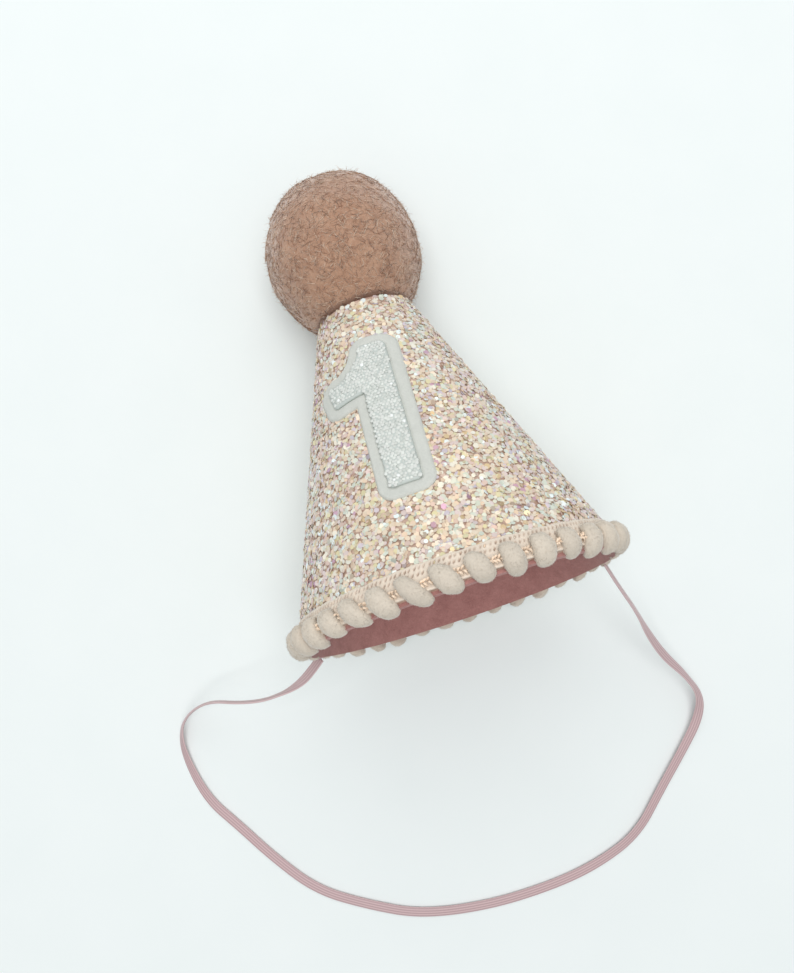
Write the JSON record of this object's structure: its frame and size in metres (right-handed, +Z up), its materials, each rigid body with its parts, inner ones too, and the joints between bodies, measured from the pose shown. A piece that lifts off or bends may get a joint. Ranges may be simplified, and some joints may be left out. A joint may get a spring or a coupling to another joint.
{
  "type": "party hat",
  "caption": "Small glitter cone party hat with a felt ball on top, a felt number, pom-pom trim and a chin elastic, lying on its side.",
  "frame": {"origin": "on the surface the hat lies on, under the middle of the hat without its elastic", "axes": "+Z up from the surface; +Y from the open brim towards the felt ball; +X to the right of someone who looks along +Y"},
  "size_m": [0.1827, 0.259, 0.1092],
  "materials": {
    "glitter_canvas": "coarse glitter on a woven backing",
    "liner_felt": "matt wool felt",
    "ball_felt": "needle-felted wool",
    "hot_glue": "translucent hot-melt glue",
    "number_felt": "matt felt",
    "number_glitter": "fine white glitter",
    "trim_braid": "knitted braid",
    "tie_thread": "shiny rayon thread",
    "pompom_yarn": "clipped soft yarn",
    "elastic": "ribbed woven elastic"
  },
  "bodies": {
    "root": {"glitter_cover": "glitter_canvas", "felt_liner": "liner_felt", "felt_ball": "ball_felt", "ball_glue": "hot_glue", "number_backing": "number_felt", "number_face": "number_glitter", "trim_braid": "trim_braid", "trim_tie_threads": "tie_thread", "elastic_end_left": "elastic", "elastic_end_right": "elastic", "elastic_strap": "elastic", "pompom_01": "pompom_yarn", "pompom_02": "pompom_yarn", "pompom_03": "pompom_yarn", "pompom_04": "pompom_yarn", "pompom_05": "pompom_yarn", "pompom_06": "pompom_yarn", "pompom_07": "pompom_yarn", "pompom_08": "pompom_yarn", "pompom_09": "pompom_yarn", "pompom_10": "pompom_yarn", "pompom_11": "pompom_yarn", "pompom_12": "pompom_yarn", "pompom_13": "pompom_yarn", "pompom_14": "pompom_yarn", "pompom_15": "pompom_yarn", "pompom_16": "pompom_yarn", "pompom_17": "pompom_yarn", "pompom_18": "pompom_yarn", "pompom_19": "pompom_yarn", "pompom_20": "pompom_yarn", "pompom_21": "pompom_yarn", "pompom_22": "pompom_yarn", "pompom_23": "pompom_yarn", "pompom_24": "pompom_yarn", "pompom_25": "pompom_yarn", "pompom_26": "pompom_yarn", "pompom_27": "pompom_yarn", "pompom_28": "pompom_yarn", "pompom_29": "pompom_yarn", "pompom_30": "pompom_yarn", "pompom_31": "pompom_yarn", "pompom_32": "pompom_yarn", "pompom_33": "pompom_yarn", "pompom_34": "pompom_yarn", "pompom_35": "pompom_yarn", "pompom_36": "pompom_yarn"}
  },
  "joints": []
}
